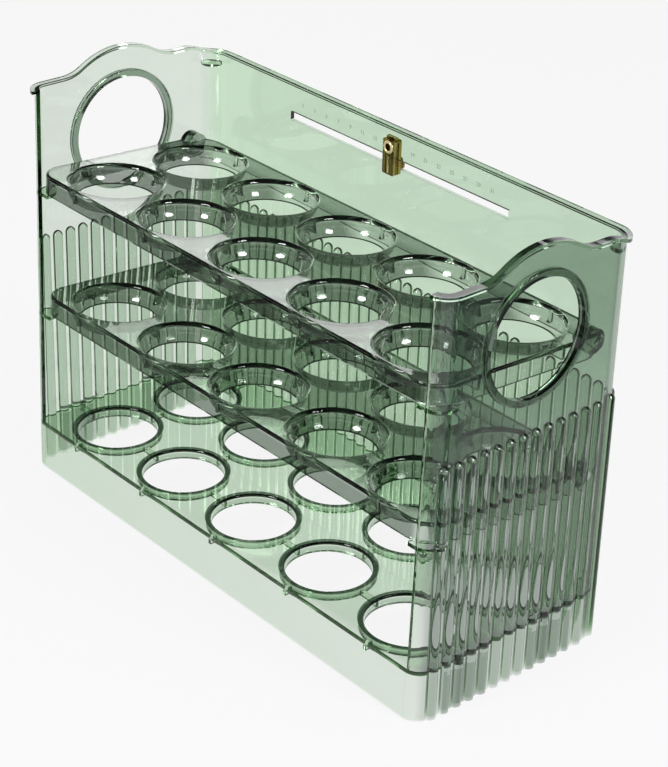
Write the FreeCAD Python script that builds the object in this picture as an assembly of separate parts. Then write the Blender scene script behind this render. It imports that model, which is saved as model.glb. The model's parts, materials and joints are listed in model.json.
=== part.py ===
import FreeCAD, Part
import math
import os

# Three-tier egg storage container for a refrigerator: an open-fronted case with a fixed
# bottom tier, two flip-up trays with ten cups each, and a date slider in the back wall.
# Millimetres. Origin at the centre of the base, lip included, +Z up, the open front faces -Y.

# Case walls
case_width = 263.4
case_depth = 106.0
case_height = 193.7
wall = 2.0
front_radius = 7.5
rear_radius = 11.0
front_lean = 4.4
column_reach = 6.3
overrun = 3.0

# Wavy top line: a hump over each handle hole, level shoulders, a lower back
hump_rise = 8.6
hump_radius = 38.0
shoulder_radius = 18.6
rear_drop = 3.2
rear_drop_shares = (0.26, 0.94)
lip_reach = 2.0
lip_thickness = 1.5

# Bottom tier
tier_height = 23.0
tier_thickness = 2.0
column_pitch = 50.0
row_pitch = 46.5
tier_rows_forward = 4.35
ring_bore = 37.0
ring_wall = 2.2
ring_depth = 4.7
ring_mouth = 0.9
tier_web = 1.6
tier_web_depth = 4.5

# Handle holes
handle_drop = 39.3
handle_bore = 50.0
bezel_width = 3.0
bezel_reach = 1.1
bezel_round = 0.7

# Flutes on the outside of the side and back walls
flute_radius = 2.5
flute_reach = 1.6
flute_gap_below_bezel = 11.8
flute_pitch = 6.85
flute_front_margin = 9.2
back_flute_pitch = 6.58

# Trays
tray_end_gap = 1.7
tray_rear_gap = 6.4
tray_front_gap = 2.2
tray_thickness = 2.0
skirt_depth = 9.0
skirt_wall = 1.6
tray_front_radius = 11.0
tray_rear_radius = 13.0
tray_edge_round = 1.0
cup_bore = 39.8
cup_rim_round = 1.9
cup_hole = 34.4
cup_wall = 1.1
cup_depth = 8.4
cup_root = 0.4
tray_web = 1.5
tray_web_depth = 6.5
tray_rows_forward = 2.4
tray_tilt = 3.25

# Tray pivots
upper_pivot_drop = 53.1
tier_spacing = 59.2
pivot_from_tray_rear = 8.6
pivot_below_top = 2.0
boss_radius = 5.4
boss_length = 6.0
pin_radius = 2.2
pin_clearance = 0.08
pin_engagement = 1.3
socket_depth = 1.5

# Rests moulded in the corners of the case
rest_radius = 10.0
rest_thickness = 1.8
rest_gap = 0.3
ledge_radius = 5.0
ledge_thickness = 1.8
ledge_drop = 3.9

# Date slot and slider
slot_drop = 26.8
slot_length = 137.3
slot_height = 4.0
slot_left_of_centre = 4.65
slider_left_of_centre = 3.8
slider_width = 7.3
slider_height = 15.8
slider_thickness = 4.1
slider_foot = 3.9
slider_round = 0.9
slider_gap = 0.3
slider_cap_height = 1.0
slider_cap_step = 1.2
slider_ring_radius = 2.2
slider_ring_tube = 0.75
slider_eye_depth = 1.2
slider_eye_drop = 3.4
slider_bar_radius = 1.1
slider_bar_reach = 0.5
slider_bar_lift = 0.9
slider_bar_gap_below_ring = 0.7
slider_side_groove = 1.0
slider_side_groove_depth = 0.4
neck_width = 4.0
neck_clearance = 0.15
keeper_width = 4.4
keeper_height = 5.4
keeper_thickness = 1.0
keeper_round = 1.2
tenon_width = 2.2
tenon_height = 2.2

half_width = case_width / 2
half_depth = case_depth / 2
inner_half_width = half_width - wall
inner_half_depth = half_depth - wall
opening_half = half_width - column_reach
shoulder_height = case_height - hump_rise
back_height = shoulder_height - rear_drop

columns = int((case_width - 2 * wall) // column_pitch)
rows = int((case_depth - 2 * wall) // row_pitch)

handle_height = case_height - handle_drop
flute_top = handle_height - handle_bore / 2 - bezel_width - flute_gap_below_bezel
side_flutes = 1 + int((case_depth - flute_front_margin - rear_radius) // flute_pitch)
corner_flutes = int(math.pi / 2 * rear_radius // flute_pitch)
back_flutes = 1 + int((case_width - 2 * rear_radius) // back_flute_pitch)

tray_length = case_width - 2 * wall - 2 * tray_end_gap
tray_depth = case_depth - 2 * wall - tray_rear_gap - tray_front_gap
tray_front = pivot_from_tray_rear - tray_depth
pivot_y = inner_half_depth - tray_rear_gap - pivot_from_tray_rear
upper_pivot_height = case_height - upper_pivot_drop
middle_pivot_height = upper_pivot_height - tier_spacing
slot_centre_height = case_height - slot_drop


def vec(x, y, z):
    return FreeCAD.Vector(x, y, z)


def box(x0, x1, y0, y1, z0, z1):
    return Part.makeBox(x1 - x0, y1 - y0, z1 - z0, vec(x0, y0, z0))


def outline(half, front, rear, front_r, rear_r, z):
    """Face of a rectangle with its own corner radii at the front and at the rear."""
    k = math.cos(math.radians(45))
    corners = [(half, front, front_r, 1, -1), (half, rear, rear_r, 1, 1),
               (-half, rear, rear_r, -1, 1), (-half, front, front_r, -1, -1)]
    arcs = []
    for x, y, r, sx, sy in corners:
        cx, cy = x - sx * r, y - sy * r
        on_y_side, on_x_side = vec(cx, y, z), vec(x, cy, z)
        ends = (on_y_side, on_x_side) if sx * sy < 0 else (on_x_side, on_y_side)
        arcs.append((ends[0], vec(cx + sx * r * k, cy + sy * r * k, z), ends[1]))
    edges = []
    for i, (start, mid, end) in enumerate(arcs):
        edges.append(Part.Arc(start, mid, end).toShape())
        edges.append(Part.LineSegment(end, arcs[(i + 1) % len(arcs)][0]).toShape())
    return Part.Face(Part.Wire(edges))


def prism(half, front, rear, front_r, rear_r, z0, z1):
    return outline(half, front, rear, front_r, rear_r, z0).extrude(vec(0, 0, z1 - z0))


def lean_at(height):
    """How far the front has moved back at a height."""
    return front_lean * height / case_height


def leaning_prism(half, front, rear, front_r, rear_r):
    """As prism, from the base to the full height, with a front face that leans back."""
    low = outline(half, front, rear, front_r, rear_r, 0)
    high = outline(half, front + front_lean, rear, front_r, rear_r, case_height)
    return Part.makeLoft([low.OuterWire, high.OuterWire], True, True)


def wave_face(top, bottom):
    """Side view of the wall: a hump between level shoulders, and a step down to the back."""
    shoulder = top - hump_rise
    both = hump_radius + shoulder_radius
    run = math.sqrt(2 * hump_rise * both - hump_rise * hump_rise)
    turn = math.asin(run / both)
    far = half_depth + lip_reach + overrun
    step_from, step_to = [run + share * (half_depth - run) for share in rear_drop_shares]
    half_step = (step_to - step_from) / 2
    step_radius = (half_step * half_step + rear_drop * rear_drop / 4) / rear_drop
    quarter = math.asin(half_step / step_radius) / 2
    sag_y, sag_z = step_radius * math.sin(quarter), step_radius * (1 - math.cos(quarter))
    join_y, join_z = hump_radius * math.sin(turn), top - hump_radius * (1 - math.cos(turn))
    mid_y = run - shoulder_radius * math.sin(turn / 2)
    mid_z = shoulder + shoulder_radius * (1 - math.cos(turn / 2))

    def p(y, z):
        return vec(-half_width - lip_reach - overrun, y, z)

    edges = [Part.LineSegment(p(-far, bottom), p(-far, shoulder)).toShape(),
             Part.LineSegment(p(-far, shoulder), p(-run, shoulder)).toShape(),
             Part.Arc(p(-run, shoulder), p(-mid_y, mid_z), p(-join_y, join_z)).toShape(),
             Part.Arc(p(-join_y, join_z), p(0, top), p(join_y, join_z)).toShape(),
             Part.Arc(p(join_y, join_z), p(mid_y, mid_z), p(run, shoulder)).toShape(),
             Part.LineSegment(p(run, shoulder), p(step_from, shoulder)).toShape(),
             Part.Arc(p(step_from, shoulder), p(step_from + sag_y, shoulder - sag_z),
                      p(step_from + half_step, shoulder - rear_drop / 2)).toShape(),
             Part.Arc(p(step_from + half_step, shoulder - rear_drop / 2),
                      p(step_to - sag_y, shoulder - rear_drop + sag_z),
                      p(step_to, shoulder - rear_drop)).toShape(),
             Part.LineSegment(p(step_to, shoulder - rear_drop), p(far, shoulder - rear_drop)).toShape(),
             Part.LineSegment(p(far, shoulder - rear_drop), p(far, bottom)).toShape(),
             Part.LineSegment(p(far, bottom), p(-far, bottom)).toShape()]
    return Part.Face(Part.Wire(edges))


def below_wave(drop, bottom):
    """Everything under the wavy top line lowered by drop, across the whole width."""
    across = 2 * (half_width + lip_reach + overrun)
    face = wave_face(case_height - drop, bottom)
    return face.extrude(vec(across, 0, 0))


def revolved(points, arc_at=None):
    """Solid of revolution about Z. points are (r, z); arc_at gives the index of a middle point."""
    pts = [vec(r, 0, z) for r, z in points]
    edges = []
    i = 0
    while i < len(pts):
        nxt = (i + 1) % len(pts)
        if arc_at is not None and nxt in arc_at:
            end = (nxt + 1) % len(pts)
            edges.append(Part.Arc(pts[i], pts[nxt], pts[end]).toShape())
            i += 2
        else:
            edges.append(Part.LineSegment(pts[i], pts[nxt]).toShape())
            i += 1
    face = Part.Face(Part.Wire(edges))
    return face.revolve(vec(0, 0, 0), vec(0, 0, 1), 360)


def bowl_middle(r_top, z_top, r_low, z_low):
    """Middle of the arc that leaves the top point straight down and curves in to the low one."""
    half_turn = math.atan2(r_top - r_low, z_top - z_low)
    radius = (z_top - z_low) / math.sin(2 * half_turn)
    return r_top - radius * (1 - math.cos(half_turn)), z_top - radius * math.sin(half_turn)


def cell_centres(rows_centre):
    for row in range(rows):
        for column in range(columns):
            yield ((column - (columns - 1) / 2) * column_pitch,
                   rows_centre + (row - (rows - 1) / 2) * row_pitch)


def row_lines(rows_centre):
    return [rows_centre + (row - (rows - 1) / 2) * row_pitch for row in range(rows)]


def column_lines():
    return [(column - (columns - 1) / 2) * column_pitch for column in range(columns)]


def flutes():
    """Half-round upright flutes: straight pins with a domed top, sunk into the wall."""
    sunk = flute_radius - flute_reach
    straight = flute_top - flute_radius
    k = math.cos(math.radians(45))
    pin = revolved([(0, 0), (flute_radius, 0), (flute_radius, straight),
                    (flute_radius * k, straight + flute_radius * k), (0, flute_top)], {3})
    made = []
    for i in range(side_flutes):
        y = -half_depth + flute_front_margin + i * flute_pitch
        for side in (-1, 1):
            made.append((side * (half_width - sunk), y))
    for i in range(corner_flutes):
        a = math.radians(90) * (i + 1) / (corner_flutes + 1)
        r = rear_radius - sunk
        for side in (-1, 1):
            made.append((side * (half_width - rear_radius + r * math.cos(a)),
                         half_depth - rear_radius + r * math.sin(a)))
    for i in range(back_flutes):
        made.append(((i - (back_flutes - 1) / 2) * back_flute_pitch, half_depth - sunk))
    shapes = []
    for x, y in made:
        one = pin.copy()
        one.translate(vec(x, y, 0))
        shapes.append(one)
    return shapes


def handle_bezel(side):
    outer = handle_bore / 2 + bezel_width
    x0, length = half_width - wall - bezel_reach / 2, wall + bezel_reach * 3 / 2
    ring = Part.makeCylinder(outer, length, vec(x0, 0, handle_height), vec(1, 0, 0))
    rims = [e for e in ring.Edges if len(e.Vertexes) == 1]
    ring = ring.makeFillet(bezel_round, rims)
    return ring if side > 0 else ring.mirror(vec(0, 0, 0), vec(1, 0, 0))


def placed_like_tray(shape, pivot_height):
    """Turn a shape from the tray's own level frame to its resting tilt at its pivot."""
    out = shape.copy()
    out.rotate(vec(0, 0, 0), vec(1, 0, 0), -tray_tilt)
    out.translate(vec(0, pivot_y, pivot_height))
    return out


def corner_rest(side, pivot_height):
    """Quarter-disc shelf in a front corner, just under the skirt of a tray."""
    top = pivot_below_top - skirt_depth - rest_gap
    x = side * inner_half_width
    y = -inner_half_depth + lean_at(pivot_height) - pivot_y
    disc = Part.makeCylinder(rest_radius, rest_thickness, vec(x, y, top - rest_thickness))
    return placed_like_tray(disc, pivot_height)


def rear_ledge(side):
    """Small shelf across a rear corner, just under the top line."""
    inner_radius = rear_radius - wall
    k = math.cos(math.radians(45))
    x = side * (inner_half_width - inner_radius * (1 - k))
    y = inner_half_depth - inner_radius * (1 - k)
    return Part.makeCylinder(ledge_radius, ledge_thickness,
                             vec(x, y, back_height - ledge_drop - ledge_thickness))


def case_walls():
    """Walls with their lip, the bottom plate and the flutes, with the front cut open."""
    outer = leaning_prism(half_width, -half_depth, half_depth, front_radius, rear_radius)
    room = leaning_prism(inner_half_width, -inner_half_depth, inner_half_depth,
                         front_radius - wall, rear_radius - wall)
    flange = leaning_prism(half_width + lip_reach, -half_depth - lip_reach, half_depth + lip_reach,
                           front_radius + lip_reach, rear_radius + lip_reach)
    under_top = below_wave(0, 0)
    walls = outer.cut(room).common(under_top)
    lip = flange.cut(room).common(under_top).cut(below_wave(lip_thickness, -overrun))
    plate = prism(half_width - wall / 2, -half_depth + wall / 2, half_depth - wall / 2,
                  front_radius - wall / 2, rear_radius - wall / 2,
                  tier_height - tier_thickness, tier_height)
    opening = box(-opening_half, opening_half, -half_depth - lip_reach - overrun,
                  -inner_half_depth + front_lean + overrun, tier_height, case_height + overrun)
    return walls.fuse([lip, plate] + flutes()).cut(opening)


def tier_rings():
    """Collars and crossed webs under the bottom plate."""
    made = []
    ring_outer = ring_bore / 2 + ring_wall
    ring_floor = tier_height - ring_depth
    web_floor, web_top = tier_height - tier_web_depth, tier_height - tier_thickness / 2
    reach_x, reach_y = half_width - wall / 2, half_depth - wall / 2
    for x, y in cell_centres(-tier_rows_forward):
        made.append(Part.makeCylinder(ring_outer, ring_depth, vec(x, y, ring_floor)))
    for y in row_lines(-tier_rows_forward):
        made.append(box(-reach_x, reach_x, y - tier_web / 2, y + tier_web / 2, web_floor, web_top))
    for x in column_lines():
        made.append(box(x - tier_web / 2, x + tier_web / 2, -reach_y, reach_y, web_floor, web_top))
    return made


def ring_hole():
    """Bore of a bottom ring with its rounded mouth."""
    ring_floor = tier_height - ring_depth
    bore, m, k = ring_bore / 2, ring_mouth, math.cos(math.radians(45))
    return revolved([(0, ring_floor - overrun), (bore, ring_floor - overrun), (bore, tier_height - m),
                     (bore + m - m * k, tier_height - m + m * k), (bore + m, tier_height),
                     (bore + m, tier_height + overrun), (0, tier_height + overrun)], {3})


def case():
    """The whole case: walls, bottom tier, rests, handle holes, slot and pivot sockets."""
    inside = [rear_ledge(-1), rear_ledge(1)]
    for side in (-1, 1):
        for pivot_height in (upper_pivot_height, middle_pivot_height):
            inside.append(corner_rest(side, pivot_height))
    within = leaning_prism(half_width - wall / 2, -half_depth + wall / 2, half_depth - wall / 2,
                           front_radius - wall / 2, rear_radius - wall / 2)
    inside = [s.common(within) for s in inside]
    body = case_walls().fuse(inside + tier_rings() + [handle_bezel(-1), handle_bezel(1)])

    cuts = []
    hole = ring_hole()
    for x, y in cell_centres(-tier_rows_forward):
        one = hole.copy()
        one.translate(vec(x, y, 0))
        cuts.append(one)
    cuts.append(Part.makeCylinder(handle_bore / 2, case_width + 4 * overrun,
                                  vec(-half_width - 2 * overrun, 0, handle_height), vec(1, 0, 0)))
    cuts.append(box(-slot_left_of_centre - slot_length / 2, -slot_left_of_centre + slot_length / 2,
                    inner_half_depth - overrun, half_depth + overrun,
                    slot_centre_height - slot_height / 2, slot_centre_height + slot_height / 2))
    for side in (-1, 1):
        for pivot_height in (upper_pivot_height, middle_pivot_height):
            start = vec(side * (inner_half_width - overrun), pivot_y, pivot_height)
            cuts.append(Part.makeCylinder(pin_radius + pin_clearance, socket_depth + overrun, start,
                                          vec(side, 0, 0)))
    return body.cut(cuts).removeSplitter()


def tray():
    """One tray in its own level frame, with the pivot axis through the origin along X."""
    half = tray_length / 2
    top, rear = pivot_below_top, pivot_from_tray_rear
    low = top - skirt_depth
    rows_centre = -pivot_y - tray_rows_forward
    shell = prism(half, tray_front, rear, tray_front_radius, tray_rear_radius, low, top)
    rim = [e for e in shell.Edges
           if all(abs(v.Z - top) < tray_edge_round / 10 for v in e.Vertexes)]
    shell = shell.makeFillet(tray_edge_round, rim)
    hollow = prism(half - skirt_wall, tray_front + skirt_wall, rear - skirt_wall,
                   tray_front_radius - skirt_wall, tray_rear_radius - skirt_wall,
                   low - overrun, top - tray_thickness)
    shell = shell.cut(hollow)

    k = math.cos(math.radians(45))
    bore, hole_radius = cup_bore / 2, cup_hole / 2
    under = top - tray_thickness
    floor = top - cup_depth
    rim_low = top - cup_rim_round
    out_top, out_low = bore + cup_wall, hole_radius + cup_wall
    cup = revolved([(0, floor), (out_low, floor), bowl_middle(out_top, under - cup_root, out_low, floor),
                    (out_top, under - cup_root),
                    (out_top + cup_root * (1 - k), under - cup_root * (1 - k)),
                    (out_top + cup_root, under), (out_top + cup_root, under + tray_thickness / 2),
                    (0, under + tray_thickness / 2)], {2, 4})
    hole = revolved([(0, floor - overrun), (hole_radius, floor - overrun), (hole_radius, floor),
                     bowl_middle(bore, rim_low, hole_radius, floor), (bore, rim_low),
                     (bore + cup_rim_round * (1 - k), top - cup_rim_round * (1 - k)),
                     (bore + cup_rim_round, top), (bore + cup_rim_round, top + overrun),
                     (0, top + overrun)], {3, 5})
    adds = []
    for x, y in cell_centres(rows_centre):
        one = cup.copy()
        one.translate(vec(x, y, 0))
        adds.append(one)
    web_floor = top - tray_web_depth
    for y in row_lines(rows_centre):
        adds.append(box(-half + skirt_wall / 2, half - skirt_wall / 2, y - tray_web / 2, y + tray_web / 2,
                        web_floor, under + tray_thickness / 2))
    for x in column_lines():
        adds.append(box(x - tray_web / 2, x + tray_web / 2, tray_front + skirt_wall / 2,
                        rear - skirt_wall / 2, web_floor, under + tray_thickness / 2))
    for side in (-1, 1):
        start = vec(side * (half - boss_length), 0, 0)
        adds.append(Part.makeCylinder(boss_radius, boss_length, start, vec(side, 0, 0)))
        gap = inner_half_width - half
        adds.append(Part.makeCylinder(pin_radius, gap + pin_engagement + boss_length / 2,
                                      vec(side * (half - boss_length / 2), 0, 0), vec(side, 0, 0)))
    body = shell.fuse(adds)
    holes = []
    for x, y in cell_centres(rows_centre):
        one = hole.copy()
        one.translate(vec(x, y, 0))
        holes.append(one)
    return body.cut(holes).removeSplitter()


def rounded_plate(x, half, y0, y1, z0, z1, radius):
    """Upright plate with its four long edges rounded."""
    plate = box(x - half, x + half, y0, y1, z0, z1)
    along_y = [e for e in plate.Edges if abs(e.Vertexes[0].Y - e.Vertexes[1].Y) > (y1 - y0) / 2]
    return plate.makeFillet(radius, along_y)


def slider_and_keeper():
    """The slider stands in front of the back wall; its neck passes the slot into the keeper."""
    x = -slider_left_of_centre
    back = inner_half_depth - slider_gap
    front = back - slider_thickness
    low = slot_centre_height - slider_foot
    high = low + slider_height
    hw = slider_width / 2
    plate = rounded_plate(x, hw, front, back, low, high, slider_round)
    cap = box(x - hw + slider_round, x + hw - slider_round, front + slider_cap_step,
              back - slider_cap_step, high - slider_round, high + slider_cap_height)
    eye_z = high - slider_eye_drop
    ring = Part.makeTorus(slider_ring_radius, slider_ring_tube, vec(x, front, eye_z), vec(0, 1, 0))
    bar_low = low + slider_bar_lift
    bar_high = eye_z - slider_ring_radius - slider_ring_tube - slider_bar_gap_below_ring
    bar = Part.makeCylinder(slider_bar_radius, bar_high - bar_low,
                            vec(x, front + slider_bar_radius - slider_bar_reach, bar_low))
    neck_end = half_depth + slider_gap
    neck_half = slot_height / 2 - neck_clearance
    neck = box(x - neck_width / 2, x + neck_width / 2, back, neck_end,
               slot_centre_height - neck_half, slot_centre_height + neck_half)
    tenon = box(x - tenon_width / 2, x + tenon_width / 2, back, neck_end + keeper_thickness,
                slot_centre_height - tenon_height / 2, slot_centre_height + tenon_height / 2)

    eye = Part.makeCylinder(slider_ring_radius - slider_ring_tube, slider_eye_depth + overrun,
                            vec(x, front - overrun, eye_z), vec(0, 1, 0))
    cuts = [eye]
    groove_y = (front + back - slider_side_groove) / 2
    for side in (-1, 1):
        outer, inner = x + side * (hw + overrun), x + side * (hw - slider_side_groove_depth)
        cuts.append(box(min(outer, inner), max(outer, inner), groove_y, groove_y + slider_side_groove,
                        low - overrun, high - slider_round))
    slider = plate.fuse([cap, ring, bar, neck, tenon]).cut(cuts).removeSplitter()
    keeper = rounded_plate(x, keeper_width / 2, neck_end, neck_end + keeper_thickness,
                           slot_centre_height - keeper_height / 2,
                           slot_centre_height + keeper_height / 2, keeper_round)
    return slider, keeper.cut(tenon)


def main():
    os.makedirs("parts", exist_ok=True)
    one_tray = tray()
    slider, keeper = slider_and_keeper()
    nodes = {
        "case": case(),
        "upper_tray": placed_like_tray(one_tray, upper_pivot_height),
        "middle_tray": placed_like_tray(one_tray, middle_pivot_height),
        "date_slider": slider,
        "slider_keeper": keeper,
    }
    for name, shape in nodes.items():
        if len(shape.Solids) == 1:
            shape = shape.Solids[0]
        shape = shape.translated(vec(0, -lip_reach / 2, 0))
        shape.exportStep("parts/" + name + ".step")
        b = shape.BoundBox
        print(name, shape.ShapeType, "solids", len(shape.Solids), "valid", shape.isValid(),
              "volume", round(shape.Volume), "box", [round(v, 2) for v in
              (b.XMin, b.XMax, b.YMin, b.YMax, b.ZMin, b.ZMax)])


main()
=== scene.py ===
import json
import math

import bmesh
import bpy
from mathutils import Matrix, Vector


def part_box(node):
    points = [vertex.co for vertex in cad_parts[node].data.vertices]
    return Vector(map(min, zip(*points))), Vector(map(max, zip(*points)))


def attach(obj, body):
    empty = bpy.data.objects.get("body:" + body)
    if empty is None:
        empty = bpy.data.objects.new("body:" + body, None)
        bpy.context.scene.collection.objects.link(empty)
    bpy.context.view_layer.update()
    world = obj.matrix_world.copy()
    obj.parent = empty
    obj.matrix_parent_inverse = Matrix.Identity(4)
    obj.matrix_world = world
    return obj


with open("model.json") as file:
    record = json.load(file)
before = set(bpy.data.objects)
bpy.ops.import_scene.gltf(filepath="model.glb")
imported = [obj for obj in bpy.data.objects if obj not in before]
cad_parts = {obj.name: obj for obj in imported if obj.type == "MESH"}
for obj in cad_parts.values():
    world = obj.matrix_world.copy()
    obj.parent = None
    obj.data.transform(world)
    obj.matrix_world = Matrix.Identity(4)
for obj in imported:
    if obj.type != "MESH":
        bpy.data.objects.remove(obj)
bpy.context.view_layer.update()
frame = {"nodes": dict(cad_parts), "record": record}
case_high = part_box("case")[1]
slider_low, slider_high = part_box("date_slider")
pivots = {joint["child"]: joint["pos_m"] for joint in frame["record"]["behaviour"]["joints"]
          if joint["type"] == "hinge"}

# Camera
PICTURE_WIDTH = 668
CAMERA_PLACE = (0.62588, -0.53972, 0.52373)
CAMERA_TURN = 0.84509
CAMERA_TILT = 1.07742
CAMERA_ROLL = 0.03082
CAMERA_FOCAL_PIXELS = 2188.2
CAMERA_NEAR = 0.01

# Bounces of light, many because it passes wall after wall of clear plastic
CLEAR_BOUNCES = 48
GLOSS_BOUNCES = 16

# Backdrop, ceiling and floor
BACKDROP_WHITE = 0.945
CEILING_GREY = 0.10
BACKDROP_TOP = 0.20
CEILING_START = 0.34
ROOM_FILL = 0.45
FLOOR_HALF = 12.0
FLOOR_PAINT = (0.8, 0.8, 0.8)
FLOOR_GLOW = (BACKDROP_WHITE, BACKDROP_WHITE, BACKDROP_WHITE)
FLOOR_GLOW_SHARE = 0.94

# Lamps, each turned from its place towards its aim: two soft boxes in front and at the right, and three long
# panels at the left rear, whose mirror images draw the light lines on the walls and on the lip
OBJECT_MIDDLE = (0.0, 0.0, 0.10)
LAMPS = (
    dict(name="front_box", place=(-0.033, -0.932, 0.683), aim=OBJECT_MIDDLE,
         width=0.38, height=0.42, power=9.0, shape="ELLIPSE"),
    dict(name="right_box", place=(0.919, 0.162, 0.683), aim=OBJECT_MIDDLE,
         width=0.38, height=0.42, power=9.0, shape="ELLIPSE"),
    dict(name="rear_panel", place=(-0.82, 0.59, 0.533), aim=(-0.82, 0.0, 0.533),
         width=0.64, height=0.07, power=0.4, shape="RECTANGLE"),
    dict(name="rear_corner_panel", place=(-1.06, 0.58, 0.445), aim=(-1.06, 0.0, 0.445),
         width=0.44, height=0.09, power=0.4, shape="RECTANGLE"),
    dict(name="lip_panel", place=(-0.82, 1.00, 0.86), aim=(0.13, 0.0, 0.185),
         width=0.60, height=0.12, power=0.5, shape="RECTANGLE"),
)

# Dark cards that lie on the floor beside the object, each from its low to its high corner
DARK_CARDS = (
    dict(name="right_card", low=(0.26, -0.02), high=(1.1, 1.2)),
    dict(name="left_card", low=(-1.2, -1.1), high=(0.30, -0.085)),
)
CARD_LIFT = 0.001
CARD_BLACK = (0.03, 0.03, 0.03)
CARD_FADE = 0.07

# Clear plastic
PLASTIC_INDEX = 1.5
HAZE_SCALE = 55.0
HAZE_DETAIL = 2.0
HAZE_ROUGHNESS = (0.012, 0.03)
CLOUD_SHARE = 0.04
RIPPLE_STRENGTH = 0.10
RIPPLE_DEPTH = 0.0002
CASE_PASSES = (0.27, 0.52, 0.24)
CASE_DENSITY = 155.0
TRAY_PASSES = (0.22, 0.38, 0.23)
TRAY_DENSITY = 170.0
CLEAR = (1.0, 1.0, 1.0)
TONE_BLEND = 0.0006

# Outer faces of the case's walls, which its lip stands out from
CASE_LIP = 0.002
WALL = 0.002
SIDE_FACE = case_high.x - CASE_LIP
BACK_FACE = case_high.y - CASE_LIP

# Painted light and shade of the case, by place from 0 at the left wall's outer face to 1 at the right one's:
# the left wall kept clear, the back deepened, the right wall deepest and lilac as a painted reflection
CASE_PAINTED_SHADES = ((0.0088, CLEAR), (0.012, (0.85, 0.985, 0.845)), (0.97, (0.80, 0.92, 0.80)),
              (0.983, (0.67, 0.64, 0.69)))
# Painted light on the front strip, and on the base at a share: lighter than the case's painted shade, and
# clear towards the right
FRONT_PAINTED_LIGHT = ((0.05, (0.87, 0.94, 0.87)), (0.95, CLEAR))
FRONT_Y = (-0.0485, -0.0505)
BASE_TOP = 0.0230
BASE_SHARE = 0.45
# Painted reflection and shade on the flutes: a lilac grey that deepens them, least at the right wall
FLUTE_PAINTED_REFLECTION = ((0.008, (0.74, 0.74, 0.77)), (0.02, (0.79, 0.78, 0.82)), (0.97, (0.79, 0.78, 0.82)),
               (0.99, (0.86, 0.83, 0.90)))
FLUTE_TOP = 0.1148
FLUTE_SKIN = 0.0001

# Painted shade on the rings of the bottom tier, deep on the collars and near black on the rims, each pair
# being where the shade starts and where it is full
RING_PITCH = 0.050
RING_ROWS_MIDDLE = -0.00535
RING_ROWS_HALF = 0.02325
RING_PAINTED_SHADE = (0.42, 0.48, 0.43)
RING_WALL = (0.0190, 0.0200)
RING_OUTSIDE = (0.0210, 0.0208)
RING_BOTTOM = (0.0188, 0.0185)
RINGS_BELOW = 0.0208
RIM_PAINTED_SHADE = (0.025, 0.040, 0.028)
RIM_OUTSIDE = (0.0213, 0.0210)
RIM_BOTTOM = 0.0223
RIM_TOP = 0.0233

# Painted shade on the right wall and on the handle rims, and painted light on the slot's floor, with pairs
# as before
RIGHT_SHADE_DEPTH = 0.0005
# Painted shade on the right wall's bare band, and deeper painted shade on its front part
RIGHT_WALL_PAINTED_SHADE = (0.875, 0.98, 0.90)
FRONT_RIGHT_PAINTED_SHADE = (0.68, 0.76, 0.73)
FRONT_RIGHT_SHADE_Y = (-0.034, -0.040)
FRONT_RIGHT_SHADE_Z = (0.070, 0.085)
# Painted shade on the handle rims, within this radius of the handle's middle
BEZEL_PAINTED_SHADE = (0.40, 0.45, 0.42)
BEZEL_CENTRE = (0.0, -0.001, 0.1544)
BEZEL_RADIUS = 0.0284
SLOT_X = (-0.0733, 0.0640)
SLOT_FLOOR = 0.1649
SLOT_EDGE = 0.0001
# Painted light: the slot's floor keeps only this much clearness, so that it shows pale
SLOT_PAINTED_LIGHT_CLEARNESS = 0.1

# Painted shade on the trays, in their own tilted axes from the pivot: deep on the cups and front skirt below
# the plate, light on the plate, more on the middle tray's plate, none at the rear strip and the side end
TRAY_TILT = math.radians(3.25)
TRAY_PLATE_TOP = 0.002
TRAY_REACH = 0.005
TRAY_REAR_FROM = -0.003
TRAY_SIDE_FROM = 0.1195
TRAY_SIDE_REACH = 0.003
UPPER_TRAY_PAINTED_SHADES = ((0.50, (0.39, 0.42, 0.39)), (0.62, (0.755, 0.79, 0.755)))
MIDDLE_TRAY_PAINTED_SHADES = ((0.50, (0.39, 0.44, 0.39)), (0.62, (0.64, 0.69, 0.64)))

# Gold
# Painted highlight for the slider's raised forms; the middle and dark golds with their streaks are the
# metal's own colour
GOLD_PAINTED_HIGHLIGHT = (0.80, 0.65, 0.36)
GOLD_MIDDLE = (0.58, 0.45, 0.13)
GOLD_DARK = (0.16, 0.12, 0.02)
# Painted shade in the slider's eye
GOLD_EYE_PAINTED_SHADE = (0.16, 0.12, 0.03)
GOLD_ROUGHNESS = (0.08, 0.26)
# Less metal where the painted highlight is, so that it shows as lit colour
GOLD_HIGHLIGHT_METAL = 0.55
STREAK_STRETCH = (1.0, 1.0, 0.07)
STREAK_SCALE = 700.0
STREAK_DETAIL = 3.0
STREAK_CONTRAST = (0.38, 0.64)
GRAIN_SCALE = 900.0
GRAIN_DETAIL = 4.0

# Raised forms of the slider that take a painted highlight, and its side edge from where that painted
# highlight starts to where it is full
SLIDER_RELIEF = 0.00075
GOLD_BLEND = 0.00015
EYE_HEIGHT = 0.1754
EYE_RADIUS = 0.0015
EYE_RING = 0.0029
BAR_HALF = 0.00045
BAR_Z = (0.1635, 0.1715)
BAR_SHINE = 0.5
EDGE_INSET = (0.00075, 0.00030)
EDGE_DEPTH = (0.00105, 0.00060)
EDGE_SHINE = 0.3

# Day scale on the back wall, odd days from 1 to 31
DAYS = range(1, 32, 2)
FIRST_DAY_X = -0.0651
DAY_PITCH = 0.00795
DAY_MIDDLE_Z = 0.1740
DAY_SIZE = 0.0026
DAY_RELIEF = 0.00012
DAY_GREEN_LIGHT = (0.33, 0.47, 0.34)
DAY_GREEN_DARK = (0.22, 0.34, 0.23)
PRINT_ROUGHNESS = 0.5
WORN_SCALE = 1500.0
WORN_DETAIL = 3.0
UPRIGHT = math.radians(90)


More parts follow.
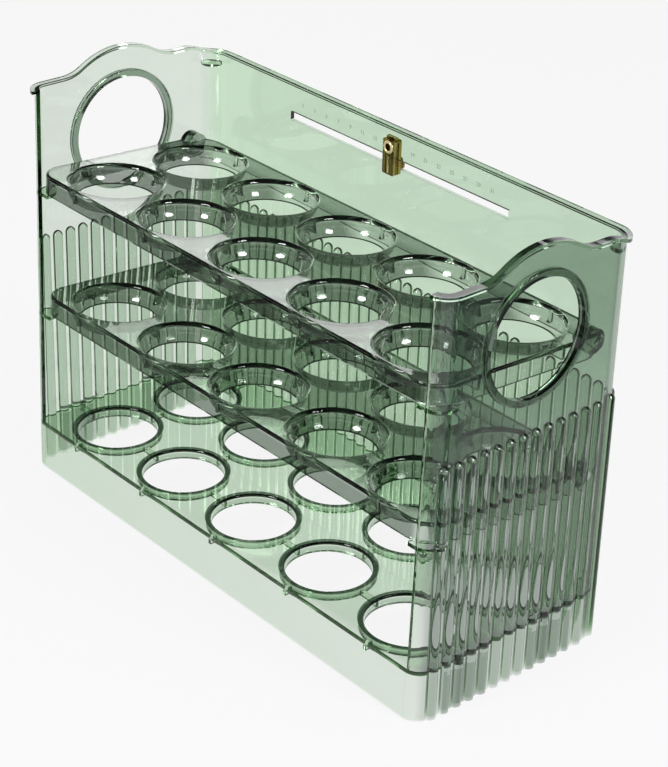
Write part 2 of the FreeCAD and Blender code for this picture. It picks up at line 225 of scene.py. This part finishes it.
class Graph:
    """The nodes of one material or world, with short words for the usual ones."""

    # Sockets of the Mix node by number, because it has more than one of each name
    SHARE = 0
    FIRST_NUMBER, SECOND_NUMBER, MIXED_NUMBER = 2, 3, 0
    FIRST_COLOUR, SECOND_COLOUR, MIXED_COLOUR = 6, 7, 2

    def __init__(self, tree):
        self.nodes, self.links = tree.nodes, tree.links
        self.nodes.clear()

    def add(self, kind, inputs=None, **settings):
        """A new node, each of whose inputs is given a number, a colour or the output of another node."""
        node = self.nodes.new("ShaderNode" + kind)
        for setting, value in settings.items():
            setattr(node, setting, value)
        for key, value in (inputs or {}).items():
            socket = node.inputs[key]
            if isinstance(value, bpy.types.NodeSocket):
                self.links.new(value, socket)
            elif socket.type == "RGBA":
                socket.default_value = (*value, 1)
            else:
                socket.default_value = value
        return node

    def math(self, operation, *values):
        """The values joined one after another by a Math operation."""
        joined = values[0]
        for value in values[1:]:
            joined = self.add("Math", {0: joined, 1: value}, operation=operation).outputs[0]
        return joined

    def absolute(self, value):
        return self.add("Math", {0: value}, operation="ABSOLUTE").outputs[0]

    def axes(self, vector):
        return self.add("SeparateXYZ", {0: vector}).outputs

    def distance(self, vector, centre):
        return self.add("VectorMath", {0: vector, 1: centre}, operation="DISTANCE").outputs["Value"]

    def ramp(self, value, start, end, low=0.0, high=1.0):
        """Low up to the start, high from the end on, and an even change between them."""
        return self.add("MapRange", {"Value": value, "From Min": start, "From Max": end,
                                     "To Min": low, "To Max": high}).outputs[0]

    def spread(self, share, low, high):
        """Low where the share is zero and high where it is one."""
        return self.ramp(share, 0.0, 1.0, low, high)

    def above(self, value, level, fade=TONE_BLEND):
        """Zero up to the level and one past the fade."""
        return self.ramp(value, level, level + fade)

    def below(self, value, level, fade=TONE_BLEND):
        """Zero down to the level and one past the fade."""
        return self.ramp(value, level, level - fade)

    def band(self, value, low, high, fade=TONE_BLEND):
        """One from low to high, fading to zero on both sides."""
        rise = self.above(value, low - fade, fade)
        return self.math("MULTIPLY", rise, self.below(value, high + fade, fade))

    def mix(self, share, first, second, blend_type="MIX"):
        """The first colour where the share is zero, blended with the second where it is one."""
        mixer = self.add("Mix", {self.SHARE: share, self.FIRST_COLOUR: first, self.SECOND_COLOUR: second},
                         data_type="RGBA", blend_type=blend_type)
        return mixer.outputs[self.MIXED_COLOUR]

    def mix_numbers(self, share, first, second):
        mixer = self.add("Mix", {self.SHARE: share, self.FIRST_NUMBER: first, self.SECOND_NUMBER: second},
                         data_type="FLOAT")
        return mixer.outputs[self.MIXED_NUMBER]

    def deepen(self, colour, mask, tone):
        """The colour times a deeper tone where the mask is one."""
        return self.mix(mask, colour, tone, "MULTIPLY")

    def steps(self, value, tones):
        """A wash through the tones, each at its own value."""
        wash = self.add("ValToRGB", {0: value})
        stops = wash.color_ramp.elements
        while len(stops) < len(tones):
            stops.new(tones[len(stops)][0])
        for stop, (position, tone) in zip(stops, tones):
            stop.position = position
            stop.color = (*tone, 1)
        return wash.outputs["Color"]

    def noise(self, vector, scale, detail):
        return self.add("TexNoise", {"Vector": vector, "Scale": scale, "Detail": detail}).outputs["Fac"]

    def place(self):
        return self.add("TexCoord").outputs["Object"]


def make_camera():
    data = bpy.data.cameras.new("camera")
    data.sensor_fit = "HORIZONTAL"
    data.lens = CAMERA_FOCAL_PIXELS / PICTURE_WIDTH * data.sensor_width
    data.clip_start = CAMERA_NEAR
    camera = bpy.data.objects.new("camera", data)
    turn = (Matrix.Rotation(CAMERA_TURN, 4, "Z") @ Matrix.Rotation(CAMERA_TILT, 4, "X")
            @ Matrix.Rotation(CAMERA_ROLL, 4, "Z"))
    camera.matrix_world = Matrix.Translation(CAMERA_PLACE) @ turn
    bpy.context.collection.objects.link(camera)
    bpy.context.scene.camera = camera


def sees_background(graph):
    """Whether a ray comes from the camera, and whether it is a camera, glossy or transmission ray."""
    path = graph.add("LightPath").outputs
    looks = graph.math("MAXIMUM", path["Is Camera Ray"], path["Is Glossy Ray"], path["Is Transmission Ray"])
    return path["Is Camera Ray"], looks


def make_room():
    """A pale backdrop that rises a little above the horizon, under a dim ceiling."""
    world = bpy.data.worlds.new("room")
    bpy.context.scene.world = world
    world.use_nodes = True
    graph = Graph(world.node_tree)
    from_camera, looks = sees_background(graph)
    upward = graph.axes(graph.add("TexCoord").outputs["Generated"])["Z"]
    height = graph.add("MapRange", {"Value": upward, "From Min": BACKDROP_TOP, "From Max": CEILING_START,
                                    "To Min": BACKDROP_WHITE, "To Max": CEILING_GREY},
                       interpolation_type="SMOOTHSTEP").outputs[0]
    seen = graph.mix_numbers(from_camera, height, BACKDROP_WHITE)
    level = graph.mix_numbers(looks, ROOM_FILL, seen)
    glow = graph.add("Background", {"Color": level})
    graph.add("OutputWorld", {"Surface": glow.outputs[0]})


def new_material(name):
    material = bpy.data.materials.new(name)
    material.use_nodes = True
    return material, Graph(material.node_tree)


def make_sheet(name, low, high, height, material):
    """A flat sheet of the studio, from its low to its high corner."""
    shape = bmesh.new()
    corners = ((low[0], low[1]), (high[0], low[1]), (high[0], high[1]), (low[0], high[1]))
    shape.faces.new([shape.verts.new((x, y, height)) for x, y in corners])
    data = bpy.data.meshes.new(name)
    shape.to_mesh(data)
    shape.free()
    data.materials.append(material)
    sheet = bpy.data.objects.new(name, data)
    bpy.context.collection.objects.link(sheet)
    return sheet


def make_floor():
    """A floor that shines to the eye as the backdrop does, and takes shadows as pale paint."""
    material, graph = new_material("pale_floor")
    paint = graph.add("BsdfDiffuse", {"Color": FLOOR_PAINT})
    glow = graph.add("Emission", {"Color": FLOOR_GLOW})
    looks = sees_background(graph)[1]
    share = graph.math("MULTIPLY", looks, FLOOR_GLOW_SHARE)
    both = graph.add("MixShader", {0: share, 1: paint.outputs[0], 2: glow.outputs[0]})
    graph.add("OutputMaterial", {"Surface": both.outputs[0]})
    material.cycles.emission_sampling = "NONE"
    make_sheet("floor", (-FLOOR_HALF, -FLOOR_HALF), (FLOOR_HALF, FLOOR_HALF), 0.0, material)


def make_dark_card(name, low, high):
    """A black sheet with faded borders, which only the gloss of the object mirrors."""
    material, graph = new_material(name)
    x, y, _ = graph.axes(graph.place())
    cover = graph.math("MULTIPLY", graph.band(x, low[0] + CARD_FADE, high[0] - CARD_FADE, CARD_FADE),
                       graph.band(y, low[1] + CARD_FADE, high[1] - CARD_FADE, CARD_FADE))
    clear = graph.add("BsdfTransparent")
    cloth = graph.add("BsdfDiffuse", {"Color": CARD_BLACK})
    faded = graph.add("MixShader", {0: cover, 1: clear.outputs[0], 2: cloth.outputs[0]})
    graph.add("OutputMaterial", {"Surface": faded.outputs[0]})
    card = make_sheet(name, low, high, CARD_LIFT, material)
    card.visible_camera = False
    card.visible_diffuse = False
    card.visible_transmission = False
    card.visible_shadow = False


def make_lamp(name, place, aim, width, height, power, shape):
    lamp = bpy.data.lights.new(name, "AREA")
    lamp.shape = shape
    lamp.size, lamp.size_y = width, height
    lamp.energy = power
    thing = bpy.data.objects.new(name, lamp)
    turn = (Vector(place) - Vector(aim)).to_track_quat("Z", "Y").to_matrix().to_4x4()
    thing.matrix_world = Matrix.Translation(place) @ turn
    thing.visible_camera = False
    bpy.context.collection.objects.link(thing)


def ring_masks(graph, x, y, z):
    """Where the painted shade falls: the collars that hang under the bottom tier's holes, and the rims round
    the holes.
    """
    along = y
    for offset in (RING_ROWS_MIDDLE, RING_ROWS_HALF):
        along = graph.absolute(graph.math("SUBTRACT", along, offset))
    from_axis = graph.add("CombineXYZ", {0: graph.math("PINGPONG", x, RING_PITCH / 2), 1: along}).outputs[0]
    reach = graph.add("VectorMath", {0: from_axis}, operation="LENGTH").outputs["Value"]
    wall_or_bottom = graph.math("MAXIMUM", graph.ramp(reach, *RING_WALL), graph.ramp(z, *RING_BOTTOM))
    collars = graph.math("MULTIPLY", graph.ramp(reach, *RING_OUTSIDE), wall_or_bottom,
                         graph.below(z, RINGS_BELOW))
    rims = graph.math("MULTIPLY", graph.ramp(reach, *RIM_OUTSIDE), graph.band(z, RIM_BOTTOM, RIM_TOP))
    return collars, rims


def flute_mask(graph, x, y, z):
    """The rounded flutes outside the back and both side walls."""
    outside = graph.math("MAXIMUM", graph.above(graph.absolute(x), SIDE_FACE + FLUTE_SKIN),
                         graph.above(y, BACK_FACE + FLUTE_SKIN))
    return graph.math("MULTIPLY", outside, graph.below(z, FLUTE_TOP))


def smoke_masks(graph, x, y, z):
    """Where the right wall gets painted shade: its bare band, and that wall towards the front."""
    right_wall = graph.above(x, SIDE_FACE - WALL - RIGHT_SHADE_DEPTH)
    bare_band = graph.math("MULTIPLY", right_wall, graph.above(z, FLUTE_TOP))
    front = graph.math("MULTIPLY", right_wall, graph.ramp(y, *FRONT_RIGHT_SHADE_Y), graph.ramp(z, *FRONT_RIGHT_SHADE_Z))
    return bare_band, front


def slot_floor_mask(graph, x, y, z):
    """The narrow face that the slider's slot has below, made nearly opaque so that it shows pale: painted
    light.
    """
    return graph.math("MULTIPLY", graph.band(z, SLOT_FLOOR, SLOT_FLOOR + SLOT_EDGE, SLOT_EDGE),
                      graph.band(x, *SLOT_X, SLOT_EDGE),
                      graph.band(y, BACK_FACE - WALL + SLOT_EDGE, BACK_FACE - SLOT_EDGE, SLOT_EDGE))


def case_wash(graph, place):
    """Painted light and shade: light left wall, greener back, darker right wall, deep rings and handle rims,
    lighter front and base, lilac flutes, pale slot floor.
    """
    x, y, z = graph.axes(place)
    across = graph.ramp(x, -SIDE_FACE, SIDE_FACE)
    base = graph.math("MULTIPLY", graph.below(z, BASE_TOP), BASE_SHARE)
    front_or_base = graph.math("MAXIMUM", graph.ramp(y, *FRONT_Y), base)
    colour = graph.mix(front_or_base, graph.steps(across, CASE_PAINTED_SHADES), graph.steps(across, FRONT_PAINTED_LIGHT))
    collars, rims = ring_masks(graph, x, y, z)
    bare_band, front_shade = smoke_masks(graph, x, y, z)
    from_handle = graph.distance(graph.add("CombineXYZ", {1: y, 2: z}).outputs[0], BEZEL_CENTRE)
    for mask, tone in ((collars, RING_PAINTED_SHADE), (rims, RIM_PAINTED_SHADE),
                       (flute_mask(graph, x, y, z), graph.steps(across, FLUTE_PAINTED_REFLECTION)),
                       (bare_band, RIGHT_WALL_PAINTED_SHADE), (front_shade, FRONT_RIGHT_PAINTED_SHADE),
                       (graph.below(from_handle, BEZEL_RADIUS), BEZEL_PAINTED_SHADE)):
        colour = graph.deepen(colour, mask, tone)
    return colour, graph.spread(slot_floor_mask(graph, x, y, z), 1.0, SLOT_PAINTED_LIGHT_CLEARNESS)


def tray_wash(tray, tones):
    """Painted shade, square to the tilted tray: light on the clear plate, deeper on the cups and front skirt
    below it, none at the rear and the side end.
    """
    def wash(graph, place):
        square = graph.add("Mapping", {"Vector": place, "Location": pivots[tray],
                                       "Rotation": (-TRAY_TILT, 0.0, 0.0)}, vector_type="TEXTURE")
        x, y, z = graph.axes(square.outputs[0])
        height = graph.ramp(z, TRAY_PLATE_TOP - TRAY_REACH, TRAY_PLATE_TOP)
        rear_or_side = graph.math("MAXIMUM", graph.above(y, TRAY_REAR_FROM, TRAY_REACH),
                                  graph.above(x, TRAY_SIDE_FROM, TRAY_SIDE_REACH))
        return graph.mix(rear_or_side, graph.steps(height, tones), CLEAR), None
    return wash


def clear_plastic(name, passes, density, wash):
    """Tinted plastic, its tone and clearness by place as painted light and shade, with a breath of haze and
    a faint ripple.
    """
    material, graph = new_material(name)
    place = graph.place()
    flow = graph.noise(place, HAZE_SCALE, HAZE_DETAIL)
    tone, clearness = wash(graph, place)
    ripple = graph.add("Bump", {"Strength": RIPPLE_STRENGTH, "Distance": RIPPLE_DEPTH, "Height": flow})
    shader = graph.add("BsdfPrincipled", {
        "Base Color": graph.mix(CLOUD_SHARE, tone, flow, "MULTIPLY"),
        "Roughness": graph.spread(flow, *HAZE_ROUGHNESS),
        "IOR": PLASTIC_INDEX,
        "Transmission Weight": 1.0,
        "Normal": ripple.outputs[0],
    })
    if clearness:
        graph.links.new(clearness, shader.inputs["Transmission Weight"])
    tint = graph.add("VolumeAbsorption", {"Color": passes, "Density": density})
    graph.add("OutputMaterial", {"Surface": shader.outputs[0], "Volume": tint.outputs[0]})
    return material


def slider_masks(graph, place):
    """The slider's ring, bar and side edge with painted highlight as one mask, and its eye with painted
    shade as another.
    """
    x, y, z = graph.axes(place)
    middle = (slider_low.x + slider_high.x) / 2
    plate_front = slider_low.y + SLIDER_RELIEF
    from_eye = graph.distance(graph.add("CombineXYZ", {0: x, 2: z}).outputs[0], (middle, 0.0, EYE_HEIGHT))
    eye = graph.below(from_eye, EYE_RADIUS + GOLD_BLEND, GOLD_BLEND)
    proud = graph.below(y, plate_front - GOLD_BLEND, GOLD_BLEND)
    ring = graph.math("MULTIPLY", proud, graph.band(from_eye, EYE_RADIUS + GOLD_BLEND, EYE_RING, GOLD_BLEND))
    bar = graph.math("MULTIPLY", proud, graph.band(x, middle - BAR_HALF, middle + BAR_HALF, GOLD_BLEND),
                     graph.band(z, *BAR_Z, GOLD_BLEND), BAR_SHINE)
    edge_x = [slider_high.x - inset for inset in EDGE_INSET]
    edge_y = [plate_front + depth for depth in EDGE_DEPTH]
    edge = graph.math("MULTIPLY", graph.ramp(x, *edge_x), graph.ramp(y, *edge_y), EDGE_SHINE)
    return graph.math("MAXIMUM", ring, bar, edge), eye


def polished_gold(name):
    """Dark old gold with upright streaks, with painted highlight on the raised forms and painted shade in
    the eye.
    """
    material, graph = new_material(name)
    place = graph.place()
    stretched = graph.add("Mapping", {"Vector": place, "Scale": STREAK_STRETCH}).outputs[0]
    streaks = graph.ramp(graph.noise(stretched, STREAK_SCALE, STREAK_DETAIL), *STREAK_CONTRAST)
    painted_highlight, eye = slider_masks(graph, place)
    colour = graph.mix(streaks, GOLD_DARK, GOLD_MIDDLE)
    # Painted highlight on the raised forms, then painted shade in the eye
    colour = graph.mix(painted_highlight, colour, GOLD_PAINTED_HIGHLIGHT)
    colour = graph.mix(eye, colour, GOLD_EYE_PAINTED_SHADE)
    shader = graph.add("BsdfPrincipled", {
        "Base Color": colour,
        "Metallic": graph.spread(painted_highlight, 1.0, GOLD_HIGHLIGHT_METAL),
        "Roughness": graph.spread(graph.noise(place, GRAIN_SCALE, GRAIN_DETAIL), *GOLD_ROUGHNESS),
    })
    graph.add("OutputMaterial", {"Surface": shader.outputs[0]})
    return material


def printed_green(name):
    """Thin worn print of the day scale."""
    material, graph = new_material(name)
    worn = graph.noise(graph.place(), WORN_SCALE, WORN_DETAIL)
    shader = graph.add("BsdfPrincipled", {"Base Color": graph.mix(worn, DAY_GREEN_DARK, DAY_GREEN_LIGHT),
                                          "Roughness": PRINT_ROUGHNESS})
    graph.add("OutputMaterial", {"Surface": shader.outputs[0]})
    return material


def day_number(day, x, ink):
    """One raised number of the scale, standing on the inner face of the back wall."""
    words = bpy.data.curves.new("day_words", "FONT")
    words.body = str(day)
    words.size = DAY_SIZE
    words.align_x, words.align_y = "CENTER", "CENTER"
    words.extrude = DAY_RELIEF / 2
    shape = bpy.data.objects.new("day_words", words)
    bpy.context.collection.objects.link(shape)
    bpy.context.view_layer.update()
    ready = shape.evaluated_get(bpy.context.evaluated_depsgraph_get())
    data = bpy.data.meshes.new_from_object(ready)
    bpy.data.objects.remove(shape)
    place = Matrix.Translation((x, BACK_FACE - WALL, DAY_MIDDLE_Z))
    data.transform(place @ Matrix.Rotation(UPRIGHT, 4, "X"))
    data.name = "day_%02d" % day
    data.materials.clear()
    data.materials.append(ink)
    number = bpy.data.objects.new(data.name, data)
    bpy.context.collection.objects.link(number)
    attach(number, "case")


make_camera()
make_room()
make_floor()
for lamp in LAMPS:
    make_lamp(**lamp)
for card in DARK_CARDS:
    make_dark_card(**card)

scene = bpy.context.scene
scene.view_settings.view_transform = "Standard"
scene.cycles.max_bounces = CLEAR_BOUNCES
scene.cycles.transmission_bounces = CLEAR_BOUNCES
scene.cycles.glossy_bounces = GLOSS_BOUNCES
scene.cycles.transparent_max_bounces = GLOSS_BOUNCES

gold = polished_gold("gold_plate")
finishes = {
    "case": clear_plastic("clear_green_case", CASE_PASSES, CASE_DENSITY, case_wash),
    "upper_tray": clear_plastic("clear_green_upper_tray", TRAY_PASSES, TRAY_DENSITY,
                                tray_wash("upper_tray", UPPER_TRAY_PAINTED_SHADES)),
    "middle_tray": clear_plastic("clear_green_middle_tray", TRAY_PASSES, TRAY_DENSITY,
                                 tray_wash("middle_tray", MIDDLE_TRAY_PAINTED_SHADES)),
    "date_slider": gold,
    "slider_keeper": gold,
}
for name, finish in finishes.items():
    node = frame["nodes"][name]
    node.data.materials.clear()
    node.data.materials.append(finish)

ink = printed_green("scale_print")
for order, day in enumerate(DAYS):
    day_number(day, FIRST_DAY_X + order * DAY_PITCH, ink)
